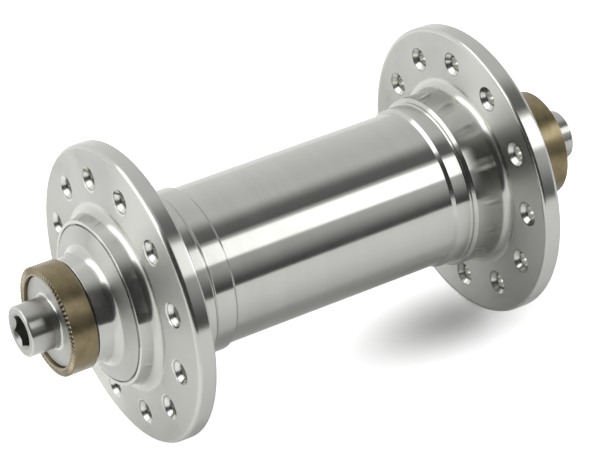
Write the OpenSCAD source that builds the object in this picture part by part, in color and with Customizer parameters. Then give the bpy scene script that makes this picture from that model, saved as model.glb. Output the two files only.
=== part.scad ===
// Bicycle front hub with two drilled spoke flanges on a straight barrel.
// The axle runs along Y with its middle at the origin, and Z is up.
// Every turned piece is drawn as a section of radius against distance along
// the axle, for the +Y end, and is mirrored for the -Y end.

/* [Flanges] */
// Outside diameter of a spoke flange
flange_d = 53; // [49:0.5:60]
// Thickness of a spoke flange
flange_t = 3.4; // [2.8:0.1:4]
// Distance from a grip face in to the rim of the flange's outer face
flange_inset = 13.8; // [13:0.1:15]
// Rise of a flange's outer face from its rim to the boss
flange_dish = 0.85; // [0:0.05:1.2]
// Rounding of a flange's outer edge
flange_edge_r = 0.9; // [0.3:0.1:1.2]
// Rounding of a flange's inner edge
flange_back_r = 0.5; // [0.2:0.1:1]
// Diameter of the circle of spoke holes
spoke_pcd = 42; // [40:0.5:44]
// Spoke holes in each flange
spoke_count = 12; // [8:1:18]
// Diameter of a spoke hole
spoke_hole_d = 2.6; // [2.3:0.1:2.8]
// Diameter of the countersink at each end of a spoke hole
spoke_sink_d = 4.4; // [3.2:0.1:4.6]
// Turn of the first spoke hole in the -Y flange, from straight up
spoke_turn = 6.3; // [0:0.1:30]

/* [Barrel] */
// Diameter of the barrel between the collars
barrel_d = 28.1; // [27:0.1:28.6]
// Rise of the raised collar at each end of the barrel
collar_rise = 0.55; // [0.35:0.05:0.9]
// Length of the collar at the -Y end
left_collar_l = 3.5; // [2:0.05:6]
// Length of the collar at the +Y end
right_collar_l = 2.75; // [2:0.05:6]
// Rise of the neck between a collar and its flange
neck_rise = 0.9; // [0.6:0.05:1.2]
// Distance from a flange's inner face to the foot of the neck's bevel
neck_l = 7.3; // [6.5:0.1:8]
// Rounding of the small hollow at the foot of the neck's bevel
bevel_foot_r = 0.35; // [0.1:0.05:0.4]
// Fillet between the neck and the flange's inner face
neck_fillet_r = 1.5; // [1:0.1:3]

/* [Bearing boss] */
// Wall of the boss round its bearing
boss_wall = 2.6; // [2.4:0.1:3]
// Step inside the shell that a bearing stands against
seat_shoulder = 0.8; // [0.5:0.1:1.2]
// Growth of the boss's radius from its lip to the flange
boss_draft = 0.5; // [0.1:0.05:0.7]
// Fillet between the boss and the flange's outer face
boss_fillet_r = 1.5; // [1:0.1:2]
// Depth of the recess that the dust cap's brim turns in
recess_depth = 1.1; // [0.8:0.1:1.6]
// Wall of the boss round that recess
lip_wall = 0.6; // [0.5:0.1:0.8]
// Bevel of the boss's lip, inside and outside
lip_bevel = 0.15; // [0.05:0.05:0.2]

/* [Bearings] */
// Bore of a ball bearing
bearing_bore_d = 15; // [14.6:0.1:15.4]
// Outside diameter of a ball bearing
bearing_od = 24; // [23.6:0.1:24.6]
// Width of a ball bearing
bearing_w = 5; // [4.8:0.1:5.6]
// Distance from a flange's outer face in to the bearing's inner face
bearing_set = 2.3; // [2.1:0.1:2.6]
// Diameter of a ball, as a share of the bearing's section from bore to outside
ball_share = 0.6173; // [0.55:0.0001:0.62]
// Balls in a bearing
ball_count = 14; // [8:1:14]
// Wall of a race at its shoulder, as a share of the same section
race_share = 0.3111; // [0.3:0.0001:0.33]
// Thickness of a bearing seal
seal_t = 0.4; // [0.2:0.05:0.45]
// Depth from a bearing's face to its seal
seal_inset = 0.15; // [0.1:0.05:0.2]
// Step in the outer race that a seal sits in
seal_step = 0.3; // [0.2:0.05:0.4]
// Corner bevel of a race
race_bevel = 0.2; // [0.1:0.05:0.3]

/* [Axle] */
// Distance over the two grip faces that a fork clamps
over_faces = 100; // [99:0.5:104]
// Diameter of an axle stub that sits in a fork end
stub_d = 9; // [8.6:0.1:10]
// Length of a stub beyond the grip face
stub_reach = 4.95; // [4:0.05:6]
// Bevel at a stub's end
stub_bevel = 0.3; // [0.1:0.05:0.5]
// Fillet where a stub leaves its disc
stub_fillet_r = 0.4; // [0.2:0.05:0.6]
// Diameter of the skewer hole through the axle
skewer_d = 5.1; // [5:0.05:5.15]
// Width across flats of the hexagon socket
socket_w = 5.2; // [5.15:0.05:5.4]
// Depth of the hexagon socket
socket_depth = 6; // [4:0.5:7]
// Diameter of the countersink at the socket's mouth
socket_sink_d = 6.4; // [6.2:0.1:7]
// Step on the axle tube that a bearing's inner race stands against
tube_shoulder = 1; // [0.7:0.1:1.1]
// Step inside the axle tube at the end of its thread
thread_step = 0.5; // [0.3:0.1:1.5]
// Diameter of the thread between the axle tube and an end piece
thread_d = 12; // [11.6:0.1:12.4]
// Length of that thread inside the axle tube
thread_reach = 9; // [6:0.5:12]

/* [Grip rings] */
// Outside diameter of a grip ring
ring_d = 19.3; // [18.9:0.1:20.5]
// Width of a grip ring along the axle
ring_w = 4.6; // [4.2:0.1:5]
// Wall of a grip ring round the disc of the end piece
ring_wall = 1.55; // [1.4:0.05:1.8]
// Thickness of the web that the end piece clamps
ring_web_t = 1.5; // [1:0.1:2]
// Depth of the disc below the grip face
disc_depth = 0.55; // [0.3:0.05:0.8]
// Teeth on the grip face
tooth_count = 72; // [36:4:84]
// Depth of the grooves between the teeth
tooth_depth = 0.28; // [0.15:0.01:0.35]
// Width of the smooth land inside the teeth
tooth_land = 0.35; // [0.2:0.05:0.5]
// Bevel of a grip ring's edges
ring_bevel = 0.25; // [0.1:0.05:0.35]

/* [Dust caps] */
// Wall of a dust cap's neck at its end, round the axle tube
cap_wall = 1.7; // [1.5:0.1:2]
// Growth of the neck's radius from its end to the brim
cap_flare = 0.55; // [0.2:0.05:0.8]
// Hollow curve between the neck and the brim's face
cap_curve_r = 1.7; // [1:0.1:2.4]
// Rise of the brim's edge above the boss's lip
brim_proud = 0.1; // [0:0.05:0.3]
// Rise of the brim's face from its edge to the neck
brim_rise = 1.15; // [0.5:0.05:1.4]
// Wall of the nose that bears on the inner race
nose_wall = 1.2; // [1:0.1:1.3]
// Wall of the short spigot that meets the grip ring
spigot_wall = 0.9; // [0.6:0.1:1.3]
// Length of that spigot
spigot_l = 0.35; // [0.2:0.05:0.5]
// Bevel round the neck's end
cap_bevel = 0.2; // [0.1:0.05:0.3]

/* [Fits] */
// Gap round the brim of a dust cap, in radius
brim_gap = 0.25; // [0.15:0.05:0.35]
// Gap behind the brim of a dust cap
brim_back_gap = 0.3; // [0.2:0.05:0.5]
// Gap between a bearing's outer face and the recess floor
seat_spare = 0.3; // [0.2:0.05:0.4]
// Clearance of a bearing on its seats, in radius
seat_fit = 0.01; // [0.01:0.005:0.02]
// Clearance of pieces that slide over each other, in radius
slide_fit = 0.05; // [0.02:0.01:0.08]
// Clearance of a ball in its races and its cage
ball_fit = 0.04; // [0.02:0.01:0.06]
// Clearance between a ball cage and the races, in radius
cage_gap = 0.3; // [0.2:0.05:0.35]
// Clearance between a ball cage and the seals beside it
cage_side_gap = 0.25; // [0.15:0.05:0.35]
// Running clearance of a seal's lip on the inner race
lip_gap = 0.08; // [0.05:0.01:0.1]
// Clearance of a disc in its grip ring, in radius
disc_fit = 0.1; // [0.05:0.05:0.2]

/* [Hidden] */
$fn = 96;

// Overrun of a cut past the face that it opens
over = 0.5;
// Depth that a fillet's patch runs into the solids it joins
tuck = 0.2;

grip_y = over_faces / 2;
flange_y = grip_y - flange_inset;
flange_back_y = flange_y - flange_t;
flange_root_y = flange_y + flange_dish;
neck_y = flange_back_y - neck_l;
left_collar_y = neck_y - left_collar_l;
right_collar_y = neck_y - right_collar_l;
collar_d = barrel_d + 2 * collar_rise;
neck_d = collar_d + 2 * neck_rise;
hollow_d = bearing_od - 2 * seat_shoulder;
boss_d = bearing_od + 2 * boss_wall;
boss_root_d = boss_d + 2 * boss_draft;
recess_d = boss_d - 2 * lip_wall;
// Place of the dished outer face at the spoke holes
spoke_face_y = flange_y + flange_dish * (flange_d - spoke_pcd) / (flange_d - boss_root_d);

bearing_y = flange_y - bearing_set;
bearing_out_y = bearing_y + bearing_w;
recess_y = bearing_out_y + seat_spare;
lip_y = recess_y + recess_depth;
bearing_mid_y = bearing_y + bearing_w / 2;
bearing_section = (bearing_od - bearing_bore_d) / 2;
pitch_r = (bearing_bore_d + bearing_od) / 4;
ball_d = ball_share * bearing_section;
race_t = race_share * bearing_section;
inner_land_r = bearing_bore_d / 2 + race_t;
outer_land_r = bearing_od / 2 - race_t;
seal_r = outer_land_r + seal_step;
seal_depth = seal_inset + seal_t;
cage_w = bearing_w - 2 * (seal_depth + cage_side_gap);

ring_bore_d = ring_d - 2 * ring_wall;
ring_back_y = grip_y - ring_w;
web_y = ring_back_y + ring_web_t;
web_bore_d = thread_d + 2 * slide_fit;
disc_y = grip_y - disc_depth;
stub_y = grip_y + stub_reach;
tube_d = bearing_bore_d + 2 * tube_shoulder;
tube_bore_d = thread_d - 2 * thread_step;
tube_end_y = ring_back_y - spigot_l;
thread_start_y = tube_end_y - thread_reach;

brim_r = recess_d / 2 - brim_gap;
brim_back_y = recess_y + brim_back_gap;
brim_edge_y = lip_y + brim_proud;
nose_d = bearing_bore_d + 2 * nose_wall;
cap_neck_d = bearing_bore_d + 2 * cap_wall;
cap_neck_y = ring_back_y - spigot_l;
cap_foot_d = cap_neck_d + 2 * cap_flare;
cap_foot_y = brim_edge_y + brim_rise;
spigot_d = bearing_bore_d + 2 * spigot_wall;

// Turns a section of radius (x) and place along the axle (y) about the axle
module turned() {
    rotate([-90, 0, 0]) rotate_extrude() children();
}

// Puts a piece drawn for the +Y end at the +Y or the -Y end
module at_end(side) {
    if (side > 0) children();
    else mirror([0, 1, 0]) children();
}

// Rectangle from radius r0 to r1 and from y0 to y1
module band(r0, r1, y0, y1) {
    translate([r0, y0]) square([r1 - r0, y1 - y0]);
}

// Direction from one point of a section to another, of length 1
function way(from, to) = (to - from) / norm(to - from);

// Patch between a corner and the curve of radius rad that touches its two
// sides, which run to the points before and after it. It fills a hollow
// corner, or is cut from an outer one to round it.
module corner_patch(before, corner, after, rad) {
    back = way(corner, before);
    ahead = way(corner, after);
    middle = way([0, 0], back + ahead);
    half = acos(back * middle);
    reach = rad / tan(half);
    difference() {
        polygon([corner - tuck * middle, corner + reach * back, corner + reach * ahead]);
        translate(corner + rad / sin(half) * middle) circle(r = rad);
    }
}

// Cut that bevels the corner at (r, y). away is 1 for a corner on the outside
// of the band, and -1 for one on its bore. out is 1 for a corner that looks
// along +y, and -1 for the other.
module bevel_cut(r, y, size, away, out) {
    reach = size + over;
    polygon([
        [r + away * over, y + out * over],
        [r + away * over, y - out * reach],
        [r - away * reach, y + out * over]]);
}

// Hexagonal prism along the axle, from y0 to y1, with two flats upright
module hexagon(width, y0, y1) {
    translate([0, y0, 0]) rotate([-90, 0, 0])
        cylinder(h = y1 - y0, d = width / cos(30), $fn = 6);
}

// Section of one end of the shell, from its collar to its lip
module shell_end_section(collar_y) {
    step = (collar_d - barrel_d) / 2;
    bevel = (neck_d - collar_d) / 2;
    collar = [collar_d / 2, collar_y];
    bevel_foot = [collar_d / 2, neck_y];
    bevel_top = [neck_d / 2, neck_y + bevel];
    neck_end = [neck_d / 2, flange_back_y];
    back_rim = [flange_d / 2, flange_back_y];
    rim = [flange_d / 2, flange_y];
    root = [boss_root_d / 2, flange_root_y];
    lip = [boss_d / 2, lip_y];
    difference() {
        union() {
            polygon([
                [hollow_d / 2, collar_y - step - tuck],
                [barrel_d / 2, collar_y - step - tuck],
                [barrel_d / 2, collar_y - step],
                collar, bevel_foot, bevel_top, neck_end, back_rim, rim, root, lip,
                [hollow_d / 2, lip_y]]);
            corner_patch(collar, bevel_foot, bevel_top, bevel_foot_r);
            corner_patch(bevel_top, neck_end, back_rim, neck_fillet_r);
            corner_patch(rim, root, lip, boss_fillet_r);
        }
        corner_patch(neck_end, back_rim, rim, flange_back_r);
        corner_patch(back_rim, rim, root, flange_edge_r);
        band(0, bearing_od / 2 + seat_fit, bearing_y, lip_y + over);
        band(0, recess_d / 2, recess_y, lip_y + over);
        bevel_cut(recess_d / 2, lip_y, lip_bevel, -1, 1);
        bevel_cut(boss_d / 2, lip_y, lip_bevel, 1, 1);
    }
}

// One spoke hole with its two countersinks, along the axle at height 0
module spoke_hole() {
    sink = (spoke_sink_d - spoke_hole_d) / 2;
    translate([0, flange_back_y - over, 0]) rotate([-90, 0, 0])
        cylinder(h = spoke_face_y - flange_back_y + 2 * over, d = spoke_hole_d);
    translate([0, spoke_face_y - sink, 0]) rotate([-90, 0, 0])
        cylinder(h = sink + over, d1 = spoke_hole_d, d2 = spoke_sink_d + 2 * over);
    translate([0, flange_back_y + sink, 0]) rotate([90, 0, 0])
        cylinder(h = sink + over, d1 = spoke_hole_d, d2 = spoke_sink_d + 2 * over);
}

// Ring of spoke holes; the +Y ring is half a pitch round from the -Y ring
module spoke_holes(side) {
    pitch = 360 / spoke_count;
    first = spoke_turn + (side > 0 ? pitch / 2 : 0);
    for (i = [0 : spoke_count - 1])
        rotate([0, first + i * pitch, 0])
            translate([0, 0, spoke_pcd / 2]) spoke_hole();
}

// Shell: barrel, collars, flanges and bearing bosses, bored right through
module hub_shell() {
    color([0.80, 0.80, 0.79]) difference() {
        turned() union() {
            band(hollow_d / 2, barrel_d / 2, -left_collar_y, right_collar_y);
            shell_end_section(right_collar_y);
            mirror([0, 1]) shell_end_section(left_collar_y);
        }
        for (side = [-1, 1]) at_end(side) spoke_holes(side);
    }
}

// Axle tube: journals for the bearings, a thicker waist and threaded ends
module axle_tube() {
    journal_r = bearing_bore_d / 2 - seat_fit;
    color([0.72, 0.72, 0.72]) turned() difference() {
        union() {
            band(tube_bore_d / 2, tube_d / 2, -bearing_y, bearing_y);
            band(tube_bore_d / 2, journal_r, -tube_end_y, tube_end_y);
        }
        for (out = [-1, 1]) {
            band(0, thread_d / 2,
                out > 0 ? thread_start_y : -tube_end_y - over,
                out > 0 ? tube_end_y + over : -thread_start_y);
            bevel_cut(journal_r, out * tube_end_y, cap_bevel, 1, out);
        }
    }
}

// End piece: disc that clamps the grip ring, stub, socket and threaded shank
module axle_end(side) {
    disc_r = ring_bore_d / 2 - disc_fit;
    color([0.78, 0.78, 0.77]) at_end(side) difference() {
        turned() difference() {
            union() {
                band(skewer_d / 2, thread_d / 2 - slide_fit, thread_start_y, web_y + tuck);
                band(skewer_d / 2, disc_r, web_y, disc_y);
                band(skewer_d / 2, stub_d / 2, disc_y - tuck, stub_y);
                corner_patch([disc_r, disc_y], [stub_d / 2, disc_y], [stub_d / 2, stub_y],
                    stub_fillet_r);
            }
            bevel_cut(stub_d / 2, stub_y, stub_bevel, 1, 1);
            bevel_cut(disc_r, disc_y, stub_bevel / 2, 1, 1);
            bevel_cut(skewer_d / 2, stub_y, (socket_sink_d - skewer_d) / 2, -1, 1);
        }
        hexagon(socket_w, stub_y - socket_depth, stub_y + over);
    }
}

// Groove between two teeth of a grip ring, from the smooth land outwards
module tooth_groove() {
    half_w = PI * ring_bore_d / tooth_count / 2;
    slope = half_w / tooth_depth;
    translate([0, grip_y, ring_bore_d / 2 + tooth_land])
        linear_extrude(height = (ring_d - ring_bore_d) / 2)
            polygon([[0, -tooth_depth],
                [slope * (tooth_depth + over), over],
                [-slope * (tooth_depth + over), over]]);
}

// Grip ring: toothed face for the fork end, and a web that the end piece clamps
module grip_ring(side) {
    color([0.45, 0.40, 0.31]) at_end(side) difference() {
        turned() difference() {
            band(web_bore_d / 2, ring_d / 2, ring_back_y, grip_y);
            band(0, ring_bore_d / 2, web_y, grip_y + over);
            bevel_cut(ring_d / 2, grip_y, ring_bevel, 1, 1);
            bevel_cut(ring_d / 2, ring_back_y, ring_bevel, 1, -1);
        }
        for (i = [0 : tooth_count - 1])
            rotate([0, i * 360 / tooth_count, 0]) tooth_groove();
    }
}

// Dust cap: nose on the inner race, brim in the boss's recess, flared neck
module dust_cap(side) {
    edge = [brim_r, brim_edge_y];
    foot = [cap_foot_d / 2, cap_foot_y];
    neck_end = [cap_neck_d / 2, cap_neck_y];
    color([0.78, 0.78, 0.77]) at_end(side) turned() difference() {
        union() {
            band(0, nose_d / 2, bearing_out_y, cap_neck_y);
            polygon([
                [0, brim_back_y], [brim_r, brim_back_y], edge, foot, neck_end, [0, cap_neck_y]]);
            corner_patch(edge, foot, neck_end, cap_curve_r);
            band(0, spigot_d / 2, cap_neck_y - tuck, ring_back_y);
        }
        band(-over, bearing_bore_d / 2 + slide_fit, bearing_out_y - over, ring_back_y + over);
        bevel_cut(cap_neck_d / 2, cap_neck_y, cap_bevel, 1, 1);
        bevel_cut(brim_r, brim_back_y, lip_bevel, 1, -1);
    }
}

// Section of a race: a band with bevelled outer corners and a ball groove
module race_section(r0, r1, bevel_r, away) {
    difference() {
        band(r0, r1, bearing_y, bearing_out_y);
        bevel_cut(bevel_r, bearing_out_y, race_bevel, away, 1);
        bevel_cut(bevel_r, bearing_y, race_bevel, away, -1);
        translate([pitch_r, bearing_mid_y]) circle(r = ball_d / 2 + ball_fit);
    }
}

// Outer race, stepped at both faces for the seals
module outer_race(side) {
    color([0.62, 0.62, 0.63]) at_end(side) turned() difference() {
        race_section(outer_land_r, bearing_od / 2, bearing_od / 2, 1);
        band(0, seal_r, bearing_out_y - seal_depth, bearing_out_y + over);
        band(0, seal_r, bearing_y - over, bearing_y + seal_depth);
    }
}

// Inner race
module inner_race(side) {
    color([0.62, 0.62, 0.63]) at_end(side) turned()
        race_section(bearing_bore_d / 2, inner_land_r, bearing_bore_d / 2, -1);
}

// Places a copy of its child at each ball of a bearing
module each_ball() {
    for (i = [0 : ball_count - 1])
        rotate([0, i * 360 / ball_count, 0])
            translate([0, bearing_mid_y, pitch_r]) children();
}

// Full set of balls of one bearing
module balls(side) {
    color([0.70, 0.70, 0.72]) at_end(side) each_ball() sphere(d = ball_d);
}

// Ball cage: a ring with one round pocket for each ball
module ball_cage(side) {
    color([0.70, 0.55, 0.28]) at_end(side) difference() {
        turned() band(inner_land_r + cage_gap, outer_land_r - cage_gap,
            bearing_mid_y - cage_w / 2, bearing_mid_y + cage_w / 2);
        each_ball() sphere(d = ball_d + 2 * ball_fit);
    }
}

// Seal in the outer race's step at height y, its lip close to the inner race
module seal(side, y) {
    color([0.10, 0.10, 0.11]) at_end(side) turned()
        band(inner_land_r + lip_gap, seal_r - seat_fit, y, y + seal_t);
}

outer_seal_y = bearing_out_y - seal_depth;
inner_seal_y = bearing_y + seal_inset;

hub_shell();
axle_tube();
axle_end(-1);  // left_axle_end
axle_end(1);  // right_axle_end
grip_ring(-1);  // left_grip_ring
grip_ring(1);  // right_grip_ring
dust_cap(-1);  // left_dust_cap
dust_cap(1);  // right_dust_cap
outer_race(-1);  // left_outer_race
outer_race(1);  // right_outer_race
inner_race(-1);  // left_inner_race
inner_race(1);  // right_inner_race
balls(-1);  // left_balls
balls(1);  // right_balls
ball_cage(-1);  // left_ball_cage
ball_cage(1);  // right_ball_cage
seal(-1, outer_seal_y);  // left_outer_seal
seal(1, outer_seal_y);  // right_outer_seal
seal(-1, inner_seal_y);  // left_inner_seal
seal(1, inner_seal_y);  // right_inner_seal
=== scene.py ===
"""A polished bicycle front hub, dressed for its photograph.

The hub's axle runs along Y with its middle at the origin, and Z is up. New pieces are drawn in
millimetres and brought to metres when they are finished.
"""

import math

import bmesh
import bpy
from mathutils import Matrix, Vector


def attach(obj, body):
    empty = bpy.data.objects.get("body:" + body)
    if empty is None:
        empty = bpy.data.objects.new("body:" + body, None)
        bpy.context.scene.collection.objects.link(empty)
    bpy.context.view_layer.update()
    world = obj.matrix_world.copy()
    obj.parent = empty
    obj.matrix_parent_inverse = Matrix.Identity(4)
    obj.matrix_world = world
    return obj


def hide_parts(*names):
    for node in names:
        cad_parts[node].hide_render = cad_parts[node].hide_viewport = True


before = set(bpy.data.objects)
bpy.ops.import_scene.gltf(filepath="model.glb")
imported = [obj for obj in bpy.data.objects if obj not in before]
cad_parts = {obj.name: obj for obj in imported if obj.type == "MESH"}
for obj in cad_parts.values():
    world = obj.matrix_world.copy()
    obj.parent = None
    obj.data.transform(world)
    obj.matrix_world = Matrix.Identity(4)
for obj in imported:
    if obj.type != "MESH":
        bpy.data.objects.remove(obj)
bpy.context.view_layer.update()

MM = 0.001
# Edges that turn by more degrees than this stay sharp
SHARP_ANGLE = 32

# Flanges
FLANGE_R = 26.5
FLANGE_FACE = 36.2
FLANGE_BACK = 32.8
FLANGE_ROOT = 37.05
FLANGE_EDGE_R = 0.9
FLANGE_BACK_R = 0.5
SPOKE_CIRCLE_R = 21.0
SPOKE_COUNT = 12
SPOKE_HOLE_R = 1.3
SPOKE_SINK_R = 2.2
SPOKE_TURN = 6.3
# Part of a spoke hole's straight length that the eased edge at each end takes
HOLE_EASE = 0.06

# Barrel
BARREL_R = 14.05
COLLAR_R = 14.6
LEFT_COLLAR = 22.0
RIGHT_COLLAR = 22.75
NECK_R = 15.5
NECK_FOOT = 25.5
# Groove round the neck's bevel: an edge, its bottom and an edge, each the height above the collar
# and the depth
BEVEL_GROOVE = ((0.42, 0.0), (0.30, 0.13), (0.20, 0.0))
NECK_FILLET_R = 1.5
HOLLOW_R = 11.2

# Bearing boss
BOSS_R = 14.6
BOSS_ROOT_R = 15.1
BOSS_FILLET_R = 1.5
BEARING_SEAT_R = 12.01
BEARING_BACK = 33.9
RECESS_R = 14.0
RECESS_FLOOR = 39.2
LIP = 40.3

# Dust caps
CAP_BORE_R = 7.55
NOSE_R = 8.7
NOSE_FACE = 38.9
BRIM_R = 13.75
BRIM_BACK = 39.5
BRIM_EDGE = 40.4
CAP_NECK_R = 9.2
CAP_KNEE_R = 9.75
CAP_KNEE = 41.55
CAP_NECK_END = 45.05
CAP_CURVE_R = 1.7
SPIGOT_R = 8.4

# Grip rings
RING_R = 9.65
RING_BORE_R = 8.1
RING_BACK = 45.4
RING_WEB = 46.9
RING_WEB_BORE_R = 6.05
GRIP_FACE = 50.0
TOOTH_COUNT = 72
TOOTH_DEPTH = 0.28
TOOTH_LAND = 0.35
# Width of the steps at the grooves' inner ends, and how far down the rounded rim the grooves go
GROOVE_STEP = 0.06
GROOVED_RIM = 0.12

# Axle ends
DISC_R = 8.0
DISC_FACE = 49.45
STUB_R = 4.5
STUB_END = 54.95
SHANK_R = 5.95
SHANK_END = 36.05
SKEWER_R = 2.55
SOCKET_W = 5.2
SOCKET_DEPTH = 6.0
SOCKET_MOUTH_R = 3.2

# The photograph's camera: a view from the front right and above the -Y end
CAMERA_PLACE = Vector((0.3513, -0.2211, 0.3001))
CAMERA_RIGHT = Vector((0.53125, 0.84722, 0.0))
CAMERA_UP = Vector((-0.49683, 0.31154, 0.81000))
CAMERA_LENS = 178.69
FLOOR_Z = -FLANGE_R * MM


def only(piece):
    """Makes a piece the one that is selected and active."""
    bpy.ops.object.select_all(action="DESELECT")
    piece.select_set(True)
    bpy.context.view_layer.objects.active = piece


def pick(piece, wanted):
    """Selects the corners of a mesh in edit mode that wanted() agrees to."""
    mesh = bmesh.from_edit_mesh(piece.data)
    bpy.ops.mesh.select_all(action="DESELECT")
    for vert in mesh.verts:
        if wanted(vert.co):
            vert.select_set(True)
    mesh.select_flush(True)
    bmesh.update_edit_mesh(piece.data)


def near(radius, place):
    """Test for a corner of a section that stands at this radius and place."""
    return lambda co: abs(co.x - radius) < 1e-4 and abs(co.y - place) < 1e-4


def rounding_offset(corners, i, rounding):
    """Length that a rounding of this radius takes off each side of corner i."""
    here = Vector(corners[i][:2])
    before = (here - Vector(corners[i - 1][:2])).normalized()
    after = (Vector(corners[(i + 1) % len(corners)][:2]) - here).normalized()
    turn = math.acos(max(-1.0, min(1.0, before.dot(after))))
    return rounding * math.tan(turn / 2), turn


def rounding_segments(rounding, turn):
    """Segments for a rounding of this radius through this angle, finer for a larger radius."""
    finest_from = 2.4
    return max(3, round(turn * (3 + 5 * min(rounding, finest_from))))


def turned(name, corners, steps):
    """Draws a closed section, rounds its corners and spins it about the axle.

    A corner is its radius, its place along the axle and its rounding.
    """
    bpy.ops.object.select_all(action="DESELECT")
    bpy.ops.mesh.primitive_plane_add(size=1)
    piece = bpy.context.object
    piece.name = name
    bpy.ops.object.mode_set(mode="EDIT")
    bpy.ops.mesh.select_all(action="SELECT")
    bpy.ops.mesh.merge(type="CENTER")
    bpy.ops.transform.translate(value=(corners[0][0], corners[0][1], 0))
    for here, after in zip(corners, corners[1:]):
        step = (after[0] - here[0], after[1] - here[1], 0)
        bpy.ops.mesh.extrude_region_move(TRANSFORM_OT_translate={"value": step})
    first, last = near(*corners[0][:2]), near(*corners[-1][:2])
    pick(piece, lambda co: first(co) or last(co))
    bpy.ops.mesh.edge_face_add()
    bpy.ops.mesh.select_all(action="SELECT")
    bpy.ops.mesh.edge_face_add()
    for i, (radius, place, rounding) in enumerate(corners):
        if rounding:
            offset, turn = rounding_offset(corners, i, rounding)
            pick(piece, near(radius, place))
            bpy.ops.mesh.bevel(
                offset_type="OFFSET", offset=offset, affect="VERTICES", profile=0.5,
                segments=rounding_segments(rounding, turn), clamp_overlap=False)
    bpy.ops.mesh.select_all(action="SELECT")
    bpy.ops.mesh.delete(type="ONLY_FACE")
    bpy.ops.mesh.select_all(action="SELECT")
    bpy.ops.mesh.spin(steps=steps, angle=math.tau, center=(0, 0, 0), axis=(0, 1, 0))
    bpy.ops.mesh.select_all(action="SELECT")
    bpy.ops.mesh.remove_doubles(threshold=1e-4)
    bpy.ops.mesh.normals_make_consistent(inside=False)
    bpy.ops.object.mode_set(mode="OBJECT")
    return piece


def apply_modifier(piece, kind, **settings):
    """Adds a modifier to a piece and applies it."""
    only(piece)
    modifier = piece.modifiers.new(kind.lower(), kind)
    for key, value in settings.items():
        setattr(modifier, key, value)
    bpy.ops.object.modifier_apply(modifier=modifier.name)


def cut(piece, cutter, finish, cut_finish):
    """Takes a cutter away from a piece and deletes it. The walls of the cut have their own finish."""
    if not piece.data.materials:
        piece.data.materials.append(finish)
    cutter.data.materials.append(cut_finish)
    apply_modifier(piece, "BOOLEAN", operation="DIFFERENCE", object=cutter, solver="EXACT",
                   material_mode="TRANSFER")
    only(cutter)
    bpy.ops.object.delete()


def finished(piece, body, cad_name, material):
    """Smooths a piece, brings it to metres and puts it in the place of its CAD node.

    A piece that was cut already has its finishes.
    """
    only(piece)
    bpy.ops.object.shade_smooth_by_angle(angle=math.radians(SHARP_ANGLE))
    apply_modifier(piece, "WEIGHTED_NORMAL", mode="FACE_AREA", keep_sharp=True)
    piece.scale = (MM, MM, MM)
    bpy.ops.object.transform_apply(location=True, rotation=True, scale=True)
    if not piece.data.materials:
        piece.data.materials.append(material)
    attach(piece, body)
    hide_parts(cad_name)
    return piece


def turned_about(piece, name):
    """Copies a piece that is drawn for the +Y end to the -Y end."""
    only(piece)
    bpy.ops.object.duplicate()
    copy = bpy.context.object
    copy.name = name
    copy.rotation_euler = (0, 0, math.pi)
    bpy.ops.object.transform_apply(location=True, rotation=True, scale=True)
    return copy


def shell_end_corners(collar):
    """Corners of one end of the shell, from its bore over the lip to the barrel."""
    return [
        (HOLLOW_R, BEARING_BACK, 0.1),
        (BEARING_SEAT_R, BEARING_BACK, 0),
        (BEARING_SEAT_R, RECESS_FLOOR, 0.1),
        (RECESS_R, RECESS_FLOOR, 0),
        (RECESS_R, LIP, 0.12),
        (BOSS_R, LIP, 0.14),
        (BOSS_ROOT_R, FLANGE_ROOT, BOSS_FILLET_R),
        (FLANGE_R, FLANGE_FACE, FLANGE_EDGE_R),
        (FLANGE_R, FLANGE_BACK, FLANGE_BACK_R),
        (NECK_R, FLANGE_BACK, NECK_FILLET_R),
        (NECK_R, NECK_FOOT + NECK_R - COLLAR_R, 0.08),
        *((COLLAR_R + up - deep, NECK_FOOT + up + deep, 0.03) for up, deep in BEVEL_GROOVE),
        (COLLAR_R, NECK_FOOT, 0.2),
        (COLLAR_R, collar, 0.08),
        (BARREL_R, collar - (COLLAR_R - BARREL_R), 0.05),
    ]


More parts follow.
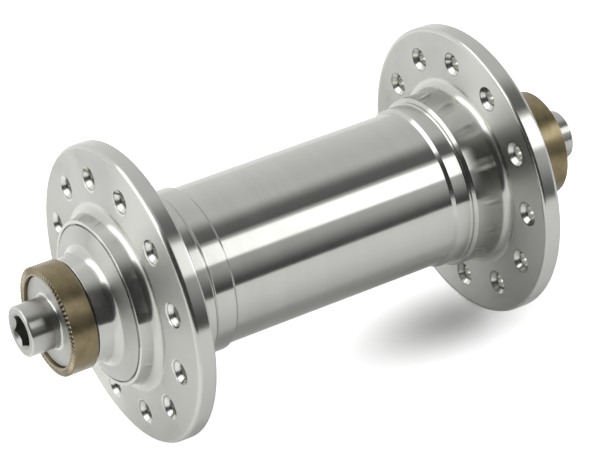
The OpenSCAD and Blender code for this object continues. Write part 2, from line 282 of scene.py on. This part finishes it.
def spoke_cutter(place_sign, first_angle):
    """Ring of twelve waisted cutters that drill and countersink one flange."""
    rise = (FLANGE_ROOT - FLANGE_FACE) / (FLANGE_R - BOSS_ROOT_R)
    face = FLANGE_FACE + rise * (FLANGE_R - SPOKE_CIRCLE_R)
    middle = place_sign * (face + FLANGE_BACK) / 2
    sink = SPOKE_SINK_R - SPOKE_HOLE_R
    straight = (face - FLANGE_BACK) / 2 - sink
    angle = math.radians(first_angle)
    bpy.ops.object.select_all(action="DESELECT")
    bpy.ops.mesh.primitive_cylinder_add(
        vertices=48, radius=SPOKE_HOLE_R, depth=2 * (straight - HOLE_EASE),
        rotation=(math.pi / 2, 0, 0),
        location=(SPOKE_CIRCLE_R * math.sin(angle), middle, SPOKE_CIRCLE_R * math.cos(angle)))
    cutter = bpy.context.object
    centre = cutter.location.copy()
    bpy.ops.object.transform_apply(location=True, rotation=True, scale=True)
    bpy.ops.object.mode_set(mode="EDIT")
    for out in (-1, 1):
        at = straight - HOLE_EASE
        radius = SPOKE_HOLE_R
        # Past the straight hole: an eased edge, the countersink, and an eased mouth that runs out
        for next_at, next_radius in (
                (straight + 0.05, SPOKE_HOLE_R + 0.03),
                (straight + 0.14, SPOKE_HOLE_R + 0.11),
                (straight + sink - 0.10, SPOKE_SINK_R - 0.13),
                (straight + sink - 0.03, SPOKE_SINK_R - 0.03),
                (straight + sink + 0.01, SPOKE_SINK_R + 0.09),
                (straight + sink + 0.30, SPOKE_SINK_R + 0.50)):
            level = centre.y + out * at
            pick(cutter, lambda co, level=level: abs(co.y - level) < 1e-4)
            bpy.ops.mesh.extrude_region_move(
                TRANSFORM_OT_translate={"value": (0, out * (next_at - at), 0)})
            share = next_radius / radius
            bpy.ops.transform.resize(
                value=(share, 1, share),
                center_override=(centre.x, centre.y + out * next_at, centre.z))
            at, radius = next_at, next_radius
    bpy.ops.mesh.select_all(action="SELECT")
    bpy.ops.mesh.spin(
        steps=SPOKE_COUNT - 1, dupli=True, angle=math.tau * (SPOKE_COUNT - 1) / SPOKE_COUNT,
        center=(0, 0, 0), axis=(0, 1, 0))
    bpy.ops.mesh.select_all(action="SELECT")
    bpy.ops.mesh.normals_make_consistent(inside=False)
    bpy.ops.object.mode_set(mode="OBJECT")
    return cutter


def make_shell():
    """Shell: barrel, collars, necks, drilled flanges and bearing bosses."""
    right_end = shell_end_corners(RIGHT_COLLAR)
    left_end = [(r, -y, rounding) for r, y, rounding in reversed(shell_end_corners(LEFT_COLLAR))]
    shell = turned("hub_body", right_end + left_end, steps=360)
    half_pitch = 180 / SPOKE_COUNT
    for place_sign, first_angle in ((-1, SPOKE_TURN), (1, SPOKE_TURN + half_pitch)):
        cut(shell, spoke_cutter(place_sign, first_angle), polished_alloy, drilled_alloy)
    return shell


def make_cap():
    """Dust cap of the +Y end: nose, brim, hollow curve, neck and spigot."""
    return turned("right_cap", [
        (CAP_BORE_R, NOSE_FACE, 0.1),
        (NOSE_R, NOSE_FACE, 0.1),
        (NOSE_R, BRIM_BACK, 0),
        (BRIM_R, BRIM_BACK, 0.12),
        (BRIM_R, BRIM_EDGE, 0.12),
        (CAP_KNEE_R, CAP_KNEE, CAP_CURVE_R),
        (CAP_NECK_R, CAP_NECK_END, 0.2),
        (SPIGOT_R, CAP_NECK_END, 0.05),
        (SPIGOT_R, RING_BACK, 0),
        (CAP_BORE_R, RING_BACK, 0.05),
    ], steps=240)


def make_ring():
    """Grip ring of the +Y end, with radial teeth pressed into its face."""
    ring = turned("right_toothed_ring", [
        (RING_WEB_BORE_R, RING_BACK, 0.05),
        (RING_R, RING_BACK, 0.25),
        (RING_R, GRIP_FACE, 0.25),
        (RING_BORE_R + TOOTH_LAND + GROOVE_STEP, GRIP_FACE, 0),
        (RING_BORE_R + TOOTH_LAND, GRIP_FACE, 0),
        (RING_BORE_R, GRIP_FACE, 0.06),
        (RING_BORE_R, RING_WEB, 0.1),
        (RING_WEB_BORE_R, RING_WEB, 0.05),
    ], steps=TOOTH_COUNT * 4)
    bpy.ops.object.mode_set(mode="EDIT")
    # A tooth has four corners round the ring, and three of them sink by a share of its depth
    for quarter, share in ((0, 1.0), (1, 0.45), (3, 0.45)):
        def in_groove(co, quarter=quarter):
            turns = math.atan2(co.x, co.z) / math.tau * TOOTH_COUNT * 4
            past_land = math.hypot(co.x, co.z) > RING_BORE_R + TOOTH_LAND + GROOVE_STEP / 2
            return past_land and co.y > GRIP_FACE - GROOVED_RIM and round(turns) % 4 == quarter
        pick(ring, in_groove)
        bpy.ops.transform.translate(value=(0, -share * TOOTH_DEPTH, 0))
    bpy.ops.object.mode_set(mode="OBJECT")
    return ring


def make_end_piece():
    """End piece of the +Y end: disc, stub with its hexagon socket, and shank."""
    end = turned("right_end_piece", [
        (SKEWER_R, SHANK_END, 0.1),
        (SHANK_R, SHANK_END, 0.2),
        (SHANK_R, RING_WEB, 0),
        (DISC_R, RING_WEB, 0.1),
        (DISC_R, DISC_FACE, 0.16),
        (STUB_R, DISC_FACE, 0.4),
        (STUB_R, STUB_END, 0.3),
        (SOCKET_MOUTH_R, STUB_END, 0.06),
        (SKEWER_R, STUB_END - SOCKET_MOUTH_R + SKEWER_R, 0),
    ], steps=192)
    bpy.ops.object.select_all(action="DESELECT")
    # The hexagon stands out of the stub's end by this much, so that it cuts clean
    clear = 1.0
    bpy.ops.mesh.primitive_cylinder_add(
        vertices=6, radius=SOCKET_W / 2 / math.cos(math.pi / 6), depth=SOCKET_DEPTH + clear,
        location=(0, STUB_END + (clear - SOCKET_DEPTH) / 2, 0), rotation=(math.pi / 2, 0, 0))
    hexagon = bpy.context.object
    bpy.ops.object.transform_apply(location=True, rotation=True, scale=True)
    apply_modifier(hexagon, "BEVEL", width=0.12, segments=3, limit_method="ANGLE",
                   angle_limit=math.radians(40))
    cut(end, hexagon, end_alloy, drilled_alloy)
    return end


def node(tree, kind, *inputs, **settings):
    """Adds a shader node; its inputs in their order are values or other nodes' outputs."""
    made = tree.nodes.new("ShaderNode" + kind)
    for key, value in settings.items():
        setattr(made, key, value)
    for socket, value in zip(made.inputs, inputs):
        if isinstance(value, bpy.types.NodeSocket):
            tree.links.new(value, socket)
        elif value is not None:
            socket.default_value = value
    return made.outputs[0]


def maths(tree, operation, *inputs):
    """One step of arithmetic."""
    return node(tree, "Math", *inputs, operation=operation)


def product(tree, first, *others):
    """All of these values multiplied."""
    for other in others:
        first = maths(tree, "MULTIPLY", first, other)
    return first


def vector_length(tree, vector):
    """Length of another node's vector."""
    made = tree.nodes.new("ShaderNodeVectorMath")
    made.operation = "LENGTH"
    tree.links.new(vector, made.inputs[0])
    return made.outputs["Value"]


def fade(tree, value, outside, inside, low=0.0, high=1.0):
    """Smooth change from low to high while a value goes from outside to inside."""
    return node(tree, "MapRange", value, outside, inside, low, high, interpolation_type="SMOOTHSTEP")


def mixed(tree, share, first, second):
    """Colour between two colours; a colour may be another node's output."""
    mix = tree.nodes.new("ShaderNodeMix")
    mix.data_type = "RGBA"
    for place, value in ((0, share), (6, first), (7, second)):
        if isinstance(value, bpy.types.NodeSocket):
            tree.links.new(value, mix.inputs[place])
        else:
            mix.inputs[place].default_value = value
    return mix.outputs[2]


class Finish:
    """A new material with the measures that a turned surface is finished by."""

    def __init__(self, name, metallic=1.0):
        self.material = bpy.data.materials.new(name)
        self.material.use_nodes = True
        self.tree = self.material.node_tree
        self.shader = self.tree.nodes["Principled BSDF"]
        self.shader.inputs["Metallic"].default_value = metallic
        self.object_place = self.tree.nodes.new("ShaderNodeTexCoord").outputs["Object"]
        # Millimetres, the radius from the axle and the place along it
        self.place = node(
            self.tree, "VectorMath", self.object_place, (1 / MM,) * 3, operation="MULTIPLY")
        across = node(self.tree, "VectorMath", self.place, (1, 0, 1), operation="MULTIPLY")
        self.radius = vector_length(self.tree, across)
        split = self.tree.nodes.new("ShaderNodeSeparateXYZ")
        self.tree.links.new(self.place, split.inputs[0])
        self.across = split.outputs["X"]
        self.along = split.outputs["Y"]
        self.upward = split.outputs["Z"]
        self.end_distance = maths(self.tree, "ABSOLUTE", self.along)
        self.section = node(self.tree, "CombineXYZ", self.radius, self.along, 0.0)

    def noise(self, where, per_mm, detail=2.0, roughness=0.5):
        """Noise of this many waves to a millimetre, with this much finer noise in it."""
        made = self.tree.nodes.new("ShaderNodeTexNoise")
        self.tree.links.new(where, made.inputs["Vector"])
        made.inputs["Scale"].default_value = per_mm
        made.inputs["Detail"].default_value = detail
        made.inputs["Roughness"].default_value = roughness
        return made.outputs["Fac"]

    def set(self, **values):
        """Sets or links the shader's sockets, named with _ for a space."""
        for key, value in values.items():
            socket = self.shader.inputs[key.replace("_", " ")]
            if isinstance(value, bpy.types.NodeSocket):
                self.tree.links.new(value, socket)
            else:
                socket.default_value = value

    def bump(self, height, depth_mm, under=None):
        """Relief of this depth; relief that is already there goes under it."""
        made = self.tree.nodes.new("ShaderNodeBump")
        made.inputs["Distance"].default_value = depth_mm * MM
        self.tree.links.new(height, made.inputs["Height"])
        if under is not None:
            self.tree.links.new(under, made.inputs["Normal"])
        return made.outputs[0]

    def round_the_axle(self):
        """Direction of the turning marks, round the axle."""
        turned_way = node(self.tree, "VectorMath", (0, 1, 0), self.object_place,
                          operation="CROSS_PRODUCT")
        return node(self.tree, "VectorTransform", turned_way,
                    vector_type="VECTOR", convert_from="OBJECT", convert_to="WORLD")


def grey(value):
    """Grey as a colour with its alpha."""
    return (value, value, value, 1)


def alloy(value):
    """Clear anodised alloy of this brightness, a little warm."""
    return (value, value * 1.004, value * 0.95, 1)


def turned_alloy(name, shade, roughness, line_depth, spread, edges, zones=()):
    """Turned alloy: fine lines round the axle, faint bands and smudges, and brighter worn edges.

    An edge is its radius, its distance from the middle and how far the wear reaches from it. A zone
    lies between two radii and outside a distance from the middle, and has a roughness and a share
    of the shade of its own.
    """
    finish = Finish(name)
    tree = finish.tree
    lines = finish.noise(finish.section, 5.0, detail=3.0, roughness=0.6)
    bands = finish.noise(finish.section, 0.55, detail=1.0)
    smudge = finish.noise(finish.place, 0.16, detail=3.0, roughness=0.6)
    specks = finish.noise(finish.place, 3.5)
    grain = finish.noise(finish.place, 5.0, roughness=0.6)
    worn = 0.0
    for edge_radius, edge_distance, reach in edges:
        across = maths(tree, "SUBTRACT", finish.radius, edge_radius)
        along = maths(tree, "SUBTRACT", finish.end_distance, edge_distance)
        distance = vector_length(tree, node(tree, "CombineXYZ", across, along, 0.0))
        worn = maths(tree, "MAXIMUM", fade(tree, distance, reach, 0.2 * reach), worn)
    worn = product(tree, worn, fade(tree, specks, 0.3, 0.7, low=0.4))
    level = roughness
    shades = mixed(tree, fade(tree, bands, 0.3, 0.7), alloy(shade * 0.985), alloy(shade * 1.015))
    for inner, outer, distance, zone_roughness, zone_share in zones:
        inside = product(
            tree, fade(tree, finish.radius, inner, inner + ZONE_BLEND),
            fade(tree, finish.radius, outer, outer - ZONE_BLEND),
            fade(tree, finish.end_distance, distance, distance + ZONE_BLEND))
        outside = maths(tree, "SUBTRACT", 1.0, inside)
        level = product(tree, outside, level)
        level = maths(tree, "ADD", product(tree, inside, zone_roughness), level)
        shades = mixed(tree, inside, shades, alloy(shade * zone_share))
    rubbed = maths(tree, "ADD", fade(tree, smudge, 0.45, 0.75, high=0.15), product(tree, worn, 0.2))
    marks = maths(tree, "ADD", fade(tree, lines, 0.25, 0.75, low=0.96, high=1.04), rubbed)
    finish.set(
        Base_Color=mixed(tree, product(tree, worn, 0.5), shades, alloy(shade * 1.18)),
        Roughness=product(tree, level, marks),
        Anisotropic=spread, Anisotropic_Rotation=0.25, Tangent=finish.round_the_axle(),
        Normal=finish.bump(lines, line_depth, under=finish.bump(grain, 0.001)))
    return finish.material


def drilled(name, shade, roughness):
    """Drilled alloy of the spoke holes and sockets: grained, a little brighter where it is rubbed.

    Painted shade darkens a thin line at each edge of a spoke hole's countersink.
    """
    finish = Finish(name)
    tree = finish.tree
    grain = finish.noise(finish.place, 6.0)
    rubbed = finish.noise(finish.place, 1.2)
    # Place of the nearest spoke hole's middle, from the angle round the axle
    half_pitch = math.pi / SPOKE_COUNT
    right_end = maths(tree, "GREATER_THAN", finish.along, 0.0)
    first = maths(tree, "ADD", product(tree, right_end, half_pitch), math.radians(SPOKE_TURN))
    angle = maths(tree, "SUBTRACT", maths(tree, "ARCTAN2", finish.across, finish.upward), first)
    angle = maths(tree, "WRAP", angle, half_pitch, -half_pitch)
    sideways = product(tree, finish.radius, maths(tree, "SINE", angle))
    outward = product(tree, finish.radius, maths(tree, "COSINE", angle))
    outward = maths(tree, "SUBTRACT", outward, SPOKE_CIRCLE_R)
    from_middle = vector_length(tree, node(tree, "CombineXYZ", sideways, outward, 0.0))
    # Painted shade: a dark line at each edge of the countersink
    painted_edge_shade = 0.0
    for edge_r, half_width in ((SPOKE_SINK_R - 0.05, 0.11), (SPOKE_HOLE_R + 0.1, 0.08)):
        off_edge = maths(tree, "ABSOLUTE", maths(tree, "SUBTRACT", from_middle, edge_r))
        line = fade(tree, off_edge, 1.5 * half_width, 0.5 * half_width)
        painted_edge_shade = maths(tree, "MAXIMUM", line, painted_edge_shade)
    bare = mixed(tree, fade(tree, rubbed, 0.35, 0.65), alloy(shade * 0.95), alloy(shade * 1.05))
    finish.set(
        Base_Color=mixed(tree, product(tree, painted_edge_shade, 0.6), bare, alloy(HOLE_EDGE_PAINTED_SHADE)),
        Roughness=fade(tree, grain, 0.3, 0.7, roughness * 0.85, roughness * 1.15),
        Normal=finish.bump(grain, 0.0008))
    return finish.material


def brown_plating(name):
    """Brown plated steel of the grip rings: satin, mottled, rubbed lighter on the teeth's tops and
    its back edge, which on the teeth's tops is also a painted highlight.

    Painted shade darkens the grooves between the teeth.
    """
    finish = Finish(name)
    tree = finish.tree
    grain = finish.noise(finish.place, 9.0, detail=3.0, roughness=0.6)
    lines = finish.noise(finish.section, 7.0)
    patches = finish.noise(finish.place, 0.45, detail=4.0, roughness=0.55)
    land_r = RING_BORE_R + TOOTH_LAND
    past_land = fade(tree, finish.radius, land_r - 0.1, land_r + 0.1)
    inside_rim = fade(tree, finish.radius, RING_R - 0.05, RING_R - 0.3)
    # Heights on the face: the teeth's tops, and the grooves down to a little under their bottoms
    top = fade(tree, finish.end_distance, GRIP_FACE - 0.6 * TOOTH_DEPTH, GRIP_FACE - 0.04)
    groove_painted_shade = product(
        tree, fade(tree, finish.end_distance, GRIP_FACE - 0.05, GRIP_FACE - TOOTH_DEPTH),
        fade(tree, finish.end_distance, GRIP_FACE - 2 * TOOTH_DEPTH, GRIP_FACE - 1.4 * TOOTH_DEPTH),
        past_land, inside_rim)
    off_rim = maths(tree, "ABSOLUTE", maths(tree, "SUBTRACT", finish.radius, RING_R))
    back_edge = product(
        tree, fade(tree, off_rim, 0.25, 0.05),
        fade(tree, finish.end_distance, RING_BACK + 0.35, RING_BACK + 0.1))
    # Rubbed wear lightens the teeth's tops and the back edge; on the tops it is also a painted
    # highlight
    rubbed = product(
        tree, maths(tree, "MAXIMUM", product(tree, past_land, top), back_edge),
        fade(tree, grain, 0.35, 0.62, low=0.05))
    plating = mixed(tree, fade(tree, patches, 0.35, 0.65), PLATING_DARK, PLATING_LIGHT)
    # Painted shade darkens the grooves between the teeth
    plating = mixed(tree, product(tree, groove_painted_shade, 0.7), plating, PLATING_GROOVE_PAINTED_SHADE)
    finish.set(
        Base_Color=mixed(tree, product(tree, rubbed, 0.7), plating, PLATING_RUBBED_AND_HIGHLIGHT),
        Roughness=fade(tree, grain, 0.25, 0.75, 0.26, 0.36), Coat_Weight=0.2, Coat_Roughness=0.3,
        Normal=finish.bump(lines, 0.0012, under=finish.bump(grain, 0.0015)))
    return finish.material


def ground_steel(name, shade, roughness):
    """Hard steel of races and balls, with a faint grinding grain."""
    finish = Finish(name)
    tree = finish.tree
    lines = finish.noise(finish.section, 9.0)
    film = finish.noise(finish.place, 0.8)
    finish.set(
        Base_Color=mixed(tree, film, alloy(shade * 0.94), alloy(shade * 1.05)),
        Roughness=fade(tree, lines, 0.3, 0.7, roughness * 0.8, roughness * 1.2),
        Normal=finish.bump(lines, 0.0006))
    return finish.material


def pressed_brass(name):
    """Thin brass of the ball cages, a little dull in random patches."""
    finish = Finish(name)
    tree = finish.tree
    dull = finish.noise(finish.place, 1.1, detail=3.0)
    grain = finish.noise(finish.place, 8.0)
    finish.set(
        Base_Color=mixed(tree, fade(tree, dull, 0.3, 0.7), BRASS_BRIGHT, BRASS_DULL),
        Roughness=fade(tree, dull, 0.3, 0.7, low=0.22, high=0.4),
        Normal=finish.bump(grain, 0.002))
    return finish.material


def moulded_rubber(name):
    """Black rubber of the bearing seals, matt, with moulding rings."""
    finish = Finish(name, metallic=0.0)
    tree = finish.tree
    rings = finish.noise(finish.section, 2.5, detail=1.0)
    grain = finish.noise(finish.place, 12.0)
    finish.set(
        Base_Color=mixed(tree, grain, RUBBER_DARK, RUBBER_LIGHT),
        Roughness=fade(tree, rings, 0.3, 0.7, low=0.5, high=0.68),
        Normal=finish.bump(rings, 0.01, under=finish.bump(grain, 0.004)))
    return finish.material


# Colours of the finishes
# Painted shade at the edges of the spoke holes' countersinks
HOLE_EDGE_PAINTED_SHADE = 0.1
PLATING_DARK = (0.200, 0.164, 0.088, 1)
PLATING_LIGHT = (0.255, 0.210, 0.122, 1)
# Rubbed plating, which on the teeth's tops is also a painted highlight
PLATING_RUBBED_AND_HIGHLIGHT = (0.60, 0.57, 0.50, 1)
# Painted shade of the grooves between the ring's teeth
PLATING_GROOVE_PAINTED_SHADE = (0.045, 0.039, 0.024, 1)
BRASS_BRIGHT = (0.56, 0.36, 0.11, 1)
BRASS_DULL = (0.44, 0.28, 0.09, 1)
RUBBER_DARK = (0.012, 0.012, 0.013, 1)
RUBBER_LIGHT = (0.028, 0.028, 0.03, 1)

# Distance over which one zone of an alloy changes to the next
ZONE_BLEND = 0.5
# Roughness of the brushed faces, and the radius at which a flange's face gives way to its rim
BRUSHED = 0.44
FACE_OUTER_R = FLANGE_R - FLANGE_EDGE_R + ZONE_BLEND

polished_alloy = turned_alloy(
    "polished_alloy", shade=0.52, roughness=0.15, line_depth=0.00008, spread=0.95,
    edges=((FLANGE_R, FLANGE_FACE, 0.5), (FLANGE_R, FLANGE_BACK, 0.5), (BOSS_R, LIP, 0.3)),
    zones=(
        # The flange's back, its outer face, the neck and the flange's rim
        (NECK_R + NECK_FILLET_R, FACE_OUTER_R, FLANGE_BACK - 1, BRUSHED, 1.0),
        (BOSS_ROOT_R + BOSS_FILLET_R - ZONE_BLEND, FACE_OUTER_R, FLANGE_BACK + 1, BRUSHED, 1.0),
        (NECK_R - 1, NECK_R + NECK_FILLET_R, NECK_FOOT + 1, 0.2, 1.0),
        (FLANGE_R - 0.6, FLANGE_R + 1, FLANGE_BACK - 1, 0.19, 1.0)))
cap_alloy = turned_alloy(
    "cap_alloy", shade=0.52, roughness=0.14, line_depth=0.00008, spread=0.95,
    edges=((BRIM_R, BRIM_EDGE, 0.2),),
    zones=(
        # The neck and the brim
        (SPIGOT_R, CAP_KNEE_R + 1.2, CAP_KNEE - 0.8, 0.2, 1.0),
        (CAP_KNEE_R + 0.7, BRIM_R + 1, BRIM_BACK, BRUSHED, 0.96)))
end_alloy = turned_alloy(
    "end_alloy", shade=0.55, roughness=0.22, line_depth=0.0003, spread=0.8,
    edges=((STUB_R, STUB_END, 0.3),),
    zones=(
        # The disc, the stub's wall and its end
        (STUB_R + 0.3, DISC_R + 1, DISC_FACE - 1, 0.42, 0.74),
        (STUB_R - 0.5, STUB_R + 0.5, DISC_FACE, 0.26, 0.84),
        (-1, STUB_R - 0.1, STUB_END - 1, 0.42, 0.74)))
axle_alloy = turned_alloy(
    "axle_alloy", shade=0.48, roughness=0.34, line_depth=0.0008, spread=0.7,
    edges=((SHANK_R, SHANK_END, 0.2),))
drilled_alloy = drilled("drilled_alloy", shade=0.64, roughness=0.22)
brown_metal = brown_plating("brown_metal")
bearing_steel = ground_steel("bearing_steel", shade=0.48, roughness=0.22)
ball_steel = ground_steel("ball_steel", shade=0.60, roughness=0.08)
cage_brass = pressed_brass("cage_brass")
seal_rubber = moulded_rubber("seal_rubber")

# The inner pieces keep their CAD shapes
axle_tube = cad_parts["axle_tube"]
axle_tube.data.materials.clear()
axle_tube.data.materials.append(axle_alloy)
for side in ("left_", "right_"):
    for piece_name, piece_material in (
            ("outer_race", bearing_steel), ("inner_race", bearing_steel), ("balls", ball_steel),
            ("ball_cage", cage_brass), ("outer_seal", seal_rubber), ("inner_seal", seal_rubber)):
        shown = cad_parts[side + piece_name]
        shown.data.materials.clear()
        shown.data.materials.append(piece_material)

finished(make_shell(), "shell", "hub_shell", polished_alloy)
for make, end_name, body, cad_name, slot, material in (
        (make_cap, "cap", "axle", "dust_cap", "dust_cap_alloy", cap_alloy),
        (make_ring, "toothed_ring", "axle", "grip_ring", "grip_ring_metal", brown_metal),
        (make_end_piece, "end_piece", "axle", "axle_end", "axle_end_alloy", end_alloy)):
    right = make()
    left = turned_about(right, "left_" + end_name)
    finished(right, body, "right_" + cad_name, material)
    finished(left, body, "left_" + cad_name, material)


def from_camera(azimuth, height):
    """Direction this many degrees round from the camera's side and above the floor."""
    turn = math.atan2(CAMERA_PLACE.y, CAMERA_PLACE.x) + math.radians(azimuth)
    up = math.radians(height)
    return Vector((math.cos(up) * math.cos(turn), math.cos(up) * math.sin(turn), math.sin(up)))


def across_axle(angle):
    """Direction at right angles to the axle, this many degrees from straight up to the front."""
    return Vector((math.sin(math.radians(angle)), 0, math.cos(math.radians(angle))))


# Softboxes and dark cloths round the hub, each laid over those before it: how bright it is, and its
# edges. An edge is a direction, and the cosines from it at which the panel starts and is full.
ALONG_AXLE = Vector((0, 1, 0))
UP = Vector((0, 0, 1))
PANELS = (
    ("cloth_over_strip", 0.15, (
        (across_axle(92), -0.25, 0.12), (ALONG_AXLE, 0.18, 0.36), (across_axle(-66), -0.02, 0.05),
        (ALONG_AXLE, 0.86, 0.62))),
    ("wall_under_strip", 0.8, ((across_axle(115), 0.03, 0.10), (ALONG_AXLE, 0.347, 0.388))),
    ("strip_softbox", 2.8, (
        (across_axle(115.5), 0.0, 0.06), (across_axle(-37.3), -0.05, 0.02),
        (ALONG_AXLE, 0.347, 0.388))),
    ("low_cloth", 0.06, (
        (across_axle(-2), 0.47, -0.03), (across_axle(88), 0.0, 0.3), (ALONG_AXLE, 0.2, 0.36),
        (ALONG_AXLE, 0.8, 0.5))),
    ("camera_side_cloth", 0.06, (
        (ALONG_AXLE, 0.41, 0.30), (Vector((-0.92, 0.075, 0.386)), 0.48, -0.18))),
    ("left_softbox", 2.4, (
        (Vector((0.664, -0.286, 0.691)), -0.03, 0.09), (Vector((-0.937, 0.148, 0.317)), -0.03, 0.09),
        (ALONG_AXLE, -0.04, -0.14), (UP, 0.88, 0.78))),
)
WALL_DARK = 0.78
WALL_BRIGHT = 1.07

# Floor, in millimetres but for its own front edge and size in metres. It ends in front of the hub,
# and its glow dips in a painted shadow by the right flange, over the shadow it keeps. What the metal
# mirrors of it glows as well, with painted light and shade: painted pools of light are brightest in
# two zones, behind the hub's left half and beyond its left end, less far back, least elsewhere, and a
# painted shadow hardly glows in a gap under the barrel. A pair is where a change starts and where it
# is full, across the axle (X) or along it (Y). A zone is one pair of each, and its share of the glow.
FLOOR_SHADE = 0.9
FLOOR_FRONT = 0.55
FLOOR_SIZE = 5.0
FAR_MIRROR_GLOW = 0.24
MIRROR_GLOW = 0.56
BACK_MIRROR_GLOW = 0.36
BACK_MIRROR_X = (-140.0, -60.0)
MIRROR_PAINTED_LIGHT_POOLS = (((14.0, -12.0), (20.0, 5.0), 1.0), ((90.0, 50.0), (-36.0, -46.0), 0.75))
MIRROR_PAINTED_SHADOW = 0.8
MIRROR_PAINTED_SHADOW_X = (30.0, 16.0)
MIRROR_PAINTED_SHADOW_Y = (-38.0, -32.0)
FLOOR_GLOW = 0.8
PAINTED_SHADOW_GLOW = 0.114
PAINTED_SHADOW_PLACE = (6.9, 27.5)
PAINTED_SHADOW_REACH = (14.9, 29.6)


def make_light():
    """White studio on the world: pale walls, two softboxes and the dark cloths between them."""
    world = bpy.data.worlds.new("studio")
    bpy.context.scene.world = world
    world.use_nodes = True
    tree = world.node_tree
    direction = tree.nodes.new("ShaderNodeTexCoord").outputs["Generated"]

    def share(axis, outside, inside):
        facing = tree.nodes.new("ShaderNodeVectorMath")
        facing.operation = "DOT_PRODUCT"
        tree.links.new(direction, facing.inputs[0])
        facing.inputs[1].default_value = axis
        return fade(tree, facing.outputs["Value"], outside, inside)

    bright = mixed(tree, share(from_camera(-120, 10), 0.3, 0.95), grey(WALL_DARK), grey(WALL_BRIGHT))
    for name, brightness, edges in PANELS:
        inside = 1.0
        for edge in edges:
            inside = product(tree, share(*edge), inside)
        bright = mixed(tree, inside, bright, grey(brightness))
        bright.node.label = name
    rays = tree.nodes.new("ShaderNodeLightPath").outputs
    seen = maths(tree, "MAXIMUM", rays["Is Camera Ray"], rays["Is Transmission Ray"])
    tree.links.new(mixed(tree, seen, bright, (1, 1, 1, 1)), tree.nodes["Background"].inputs["Color"])


def make_floor():
    """Plain white floor that keeps the hub's soft shadow, deepened by a painted shadow patch; the
    metal mirrors it with painted pools of light and a painted shadow under the barrel.
    """
    bpy.ops.object.select_all(action="DESELECT")
    bpy.ops.mesh.primitive_plane_add(
        size=FLOOR_SIZE, location=(FLOOR_FRONT - FLOOR_SIZE / 2, 0, FLOOR_Z))
    floor = bpy.context.object
    bpy.ops.object.transform_apply(location=True, rotation=True, scale=True)
    floor.name = "floor"
    finish = Finish("floor_white", metallic=0.0)
    tree = finish.tree
    # Painted shadow: the camera's glow dips in an ellipse by the right flange
    painted_shadow_middle = (*PAINTED_SHADOW_PLACE, FLOOR_Z / MM)
    offset = node(tree, "VectorMath", finish.place, painted_shadow_middle, operation="SUBTRACT")
    offset = node(tree, "VectorMath", offset, (*PAINTED_SHADOW_REACH, 1.0), operation="DIVIDE")
    glow_with_painted_shadow = fade(tree, vector_length(tree, offset), 0.0, 1.0, PAINTED_SHADOW_GLOW, FLOOR_GLOW)
    rays = tree.nodes.new("ShaderNodeLightPath").outputs
    seen = maths(tree, "MAXIMUM", rays["Is Camera Ray"], rays["Is Transmission Ray"])
    # Painted shadow in what the metal mirrors: a gap under the barrel where the floor hardly glows
    painted_shadow_under_barrel = product(tree, fade(tree, maths(tree, "ABSOLUTE", finish.across), *MIRROR_PAINTED_SHADOW_X),
                  fade(tree, finish.along, *MIRROR_PAINTED_SHADOW_Y))
    # Painted pools of light in what the metal mirrors: brightest behind the hub's left half and
    # beyond its left end, less far back
    in_painted_light_pools = 0.0
    for zone_x, zone_y, zone_share in MIRROR_PAINTED_LIGHT_POOLS:
        zone = product(tree, fade(tree, finish.across, *zone_x),
                       fade(tree, finish.along, *zone_y, high=zone_share))
        in_painted_light_pools = maths(tree, "MAXIMUM", zone, in_painted_light_pools)
    more = fade(tree, finish.across, *BACK_MIRROR_X, low=BACK_MIRROR_GLOW, high=MIRROR_GLOW)
    more = maths(tree, "SUBTRACT", more, FAR_MIRROR_GLOW)
    mirrored = product(
        tree, rays["Is Glossy Ray"],
        maths(tree, "ADD", product(tree, in_painted_light_pools, more), FAR_MIRROR_GLOW),
        fade(tree, painted_shadow_under_barrel, 0.0, 1.0, low=1.0, high=1.0 - MIRROR_PAINTED_SHADOW))
    finish.set(
        Base_Color=grey(FLOOR_SHADE), Roughness=1.0, Specular_IOR_Level=0.0,
        Emission_Color=(1, 1, 1, 1),
        Emission_Strength=maths(tree, "MAXIMUM", product(tree, seen, glow_with_painted_shadow), mirrored))
    floor.data.materials.append(finish.material)


def make_camera():
    """Camera that looks as the photograph's did."""
    data = bpy.data.cameras.new("camera")
    data.lens = CAMERA_LENS
    data.sensor_width = 36
    data.clip_start = 0.01
    data.clip_end = 20
    camera = bpy.data.objects.new("camera", data)
    bpy.context.scene.collection.objects.link(camera)
    back = CAMERA_RIGHT.cross(CAMERA_UP)
    turn = Matrix((CAMERA_RIGHT, CAMERA_UP, back)).transposed().to_4x4()
    camera.matrix_world = Matrix.Translation(CAMERA_PLACE) @ turn
    bpy.context.scene.camera = camera
    bpy.context.scene.view_settings.view_transform = "Standard"


make_light()
make_floor()
make_camera()
